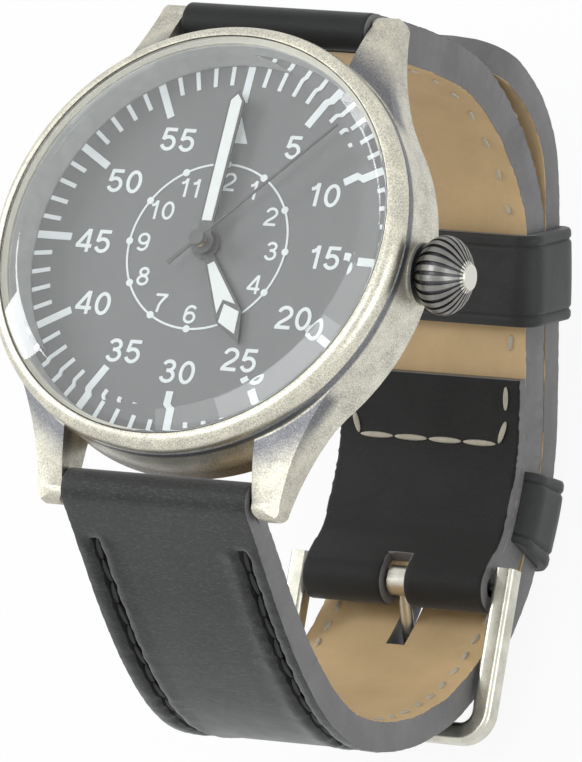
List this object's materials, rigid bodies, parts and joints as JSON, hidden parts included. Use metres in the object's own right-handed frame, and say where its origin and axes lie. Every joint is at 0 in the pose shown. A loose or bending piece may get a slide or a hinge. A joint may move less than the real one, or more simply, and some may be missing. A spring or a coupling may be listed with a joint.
{
  "type": "wristwatch",
  "caption": "Pilot style quartz wristwatch with a round case, onion crown, sword hands and a leather strap closed by a pin buckle.",
  "frame": {"origin": "middle of the case back's outer face, on the axis of the dial and hands", "axes": "+X to the crown at three o'clock, +Y to twelve o'clock, +Z out of the dial"},
  "size_m": [0.0472, 0.0693, 0.0641],
  "materials": {
    "case_metal": "patinated antique silver",
    "back_metal": "brushed",
    "crystal_glass": "polished",
    "gasket_rubber": "matt",
    "rehaut_black": "satin",
    "dial_black": "matt",
    "dial_print": "matt",
    "hand_dark": "satin",
    "hand_lume": "matt",
    "crown_metal": "patinated antique silver",
    "steel": "satin",
    "movement_brass": "satin",
    "movement_plastic": "matt",
    "board_green": "satin",
    "coil_copper": "gloss",
    "cell_steel": "gloss",
    "leather_black": "matt",
    "leather_filler": "matt",
    "leather_tan": "matt",
    "keeper_leather": "matt",
    "buckle_metal": "brushed"
  },
  "bodies": {
    "case": {"battery": "cell_steel", "battery_clamp": "steel", "bezel": "case_metal", "bridge_screws": "steel", "buckle_bar": "steel", "buckle_bar_spring": "steel", "case_back": "back_metal", "case_back_gasket": "gasket_rubber", "case_body": "case_metal", "circuit_board": "board_green", "coil": "coil_copper", "crown_tube": "steel", "crystal": "crystal_glass", "crystal_gasket": "gasket_rubber", "dial": "dial_black", "dial_track": "dial_print", "fixed_keeper": "keeper_leather", "main_plate": "movement_brass", "movement_ring": "movement_plastic", "rehaut_ring": "rehaut_black", "spring_bar_12": "steel", "spring_bar_12_spring": "steel", "spring_bar_6": "steel", "spring_bar_6_spring": "steel", "stator": "steel", "strap_12_filler": "leather_filler", "strap_12_leather": "leather_black", "strap_12_lining": "leather_tan", "strap_6_filler": "leather_filler", "strap_6_leather": "leather_black", "strap_6_lining": "leather_tan", "train_bridge": "movement_brass"},
    "seconds": {"seconds_wheel": "movement_brass", "second_hand": "hand_dark"},
    "minutes": {"centre_wheel": "movement_brass", "minute_hand": "hand_dark", "minute_lume": "hand_lume"},
    "hours": {"hour_wheel": "movement_brass", "hour_hand": "hand_dark", "hour_lume": "hand_lume"},
    "third": {"third_wheel": "movement_brass"},
    "motion_works": {"minute_wheel": "movement_brass"},
    "step": {"step_wheel": "movement_brass"},
    "motor_rotor": {"rotor": "steel"},
    "crown_setting": {"setting_lever": "steel"},
    "crown_group": {"crown": "crown_metal", "crown_gasket": "gasket_rubber", "stem": "steel", "sliding_pinion": "steel"},
    "sliding_keeper": {"free_keeper": "keeper_leather"},
    "buckle": {"buckle_frame": "buckle_metal"},
    "tongue": {"buckle_tongue": "buckle_metal"},
    "spring_bar_12_tip_crown_side": {"spring_bar_12_tip_crown_side": "steel"},
    "spring_bar_12_tip_far_side": {"spring_bar_12_tip_far_side": "steel"},
    "spring_bar_6_tip_crown_side": {"spring_bar_6_tip_crown_side": "steel"},
    "spring_bar_6_tip_far_side": {"spring_bar_6_tip_far_side": "steel"},
    "buckle_bar_tip_crown_side": {"buckle_bar_tip_crown_side": "steel"},
    "buckle_bar_tip_far_side": {"buckle_bar_tip_far_side": "steel"}
  },
  "joints": [
    {"name": "seconds_turn", "type": "hinge", "parent": "case", "child": "seconds", "pos_m": [0, 0, 0.004], "axis": [0, 0, -1], "continuous": true},
    {"name": "minutes_turn", "type": "hinge", "parent": "case", "child": "minutes", "pos_m": [0, 0, 0.004], "axis": [0, 0, -1], "continuous": true},
    {"name": "hours_turn", "type": "hinge", "parent": "case", "child": "hours", "pos_m": [0, 0, 0.004], "axis": [0, 0, -1], "continuous": true},
    {"name": "third_turn", "type": "hinge", "parent": "case", "child": "third", "pos_m": [0.00123, 0.00338, 0.004], "axis": [0, 0, -1], "continuous": true},
    {"name": "motion_turn", "type": "hinge", "parent": "case", "child": "motion_works", "pos_m": [-0.00236, 0.0011, 0.004], "axis": [0, 0, -1], "continuous": true},
    {"name": "step_turn", "type": "hinge", "parent": "case", "child": "step", "pos_m": [0.0018, -0.00312, 0.004], "axis": [0, 0, -1], "continuous": true},
    {"name": "rotor_turn", "type": "hinge", "parent": "case", "child": "motor_rotor", "pos_m": [0.00215, -0.00509, 0.004], "axis": [0, 0, -1], "continuous": true},
    {"name": "crown_pull", "type": "slide", "parent": "case", "child": "crown_setting", "axis": [1, 0, 0], "range_m": [0, 0.001]},
    {"name": "crown_turn", "type": "hinge", "parent": "crown_setting", "child": "crown_group", "pos_m": [0.023, 0, 0.004], "axis": [1, 0, 0], "continuous": true},
    {"name": "keeper_slide", "type": "slide", "parent": "case", "child": "sliding_keeper", "axis": [0, -0.8774, -0.4797], "range_m": [0, 0.0035]},
    {"name": "buckle_hinge", "type": "hinge", "parent": "case", "child": "buckle", "pos_m": [0, -0.01361, -0.04406], "axis": [1, 0, 0], "range_deg": [0, 10]},
    {"name": "tongue_hinge", "type": "hinge", "parent": "buckle", "child": "tongue", "pos_m": [0, -0.01361, -0.04406], "axis": [1, 0, 0], "range_deg": [0, 8]},
    {"name": "spring_bar_12_tip_crown_side_push", "type": "slide", "parent": "case", "child": "spring_bar_12_tip_crown_side", "axis": [-1, 0, 0], "range_m": [0, 0.0008], "stiffness_N_per_m": 1500, "springref_m": -0.0005},
    {"name": "spring_bar_12_tip_far_side_push", "type": "slide", "parent": "case", "child": "spring_bar_12_tip_far_side", "axis": [1, 0, 0], "range_m": [0, 0.0008], "stiffness_N_per_m": 1500, "springref_m": -0.0005},
    {"name": "spring_bar_6_tip_crown_side_push", "type": "slide", "parent": "case", "child": "spring_bar_6_tip_crown_side", "axis": [-1, 0, 0], "range_m": [0, 0.0008], "stiffness_N_per_m": 1500, "springref_m": -0.0005},
    {"name": "spring_bar_6_tip_far_side_push", "type": "slide", "parent": "case", "child": "spring_bar_6_tip_far_side", "axis": [1, 0, 0], "range_m": [0, 0.0008], "stiffness_N_per_m": 1500, "springref_m": -0.0005},
    {"name": "buckle_bar_tip_crown_side_push", "type": "slide", "parent": "case", "child": "buckle_bar_tip_crown_side", "axis": [-1, 0, 0], "range_m": [0, 0.0008], "stiffness_N_per_m": 1500, "springref_m": -0.0005},
    {"name": "buckle_bar_tip_far_side_push", "type": "slide", "parent": "case", "child": "buckle_bar_tip_far_side", "axis": [1, 0, 0], "range_m": [0, 0.0008], "stiffness_N_per_m": 1500, "springref_m": -0.0005}
  ],
  "couplings": [
    {"joint": "minutes_turn", "follows": "seconds_turn", "ratio": 0.016667},
    {"joint": "hours_turn", "follows": "seconds_turn", "ratio": 0.0013889},
    {"joint": "third_turn", "follows": "seconds_turn", "ratio": -0.13333},
    {"joint": "motion_turn", "follows": "seconds_turn", "ratio": -0.0055556},
    {"joint": "step_turn", "follows": "seconds_turn", "ratio": -7.5},
    {"joint": "rotor_turn", "follows": "seconds_turn", "ratio": 30}
  ]
}
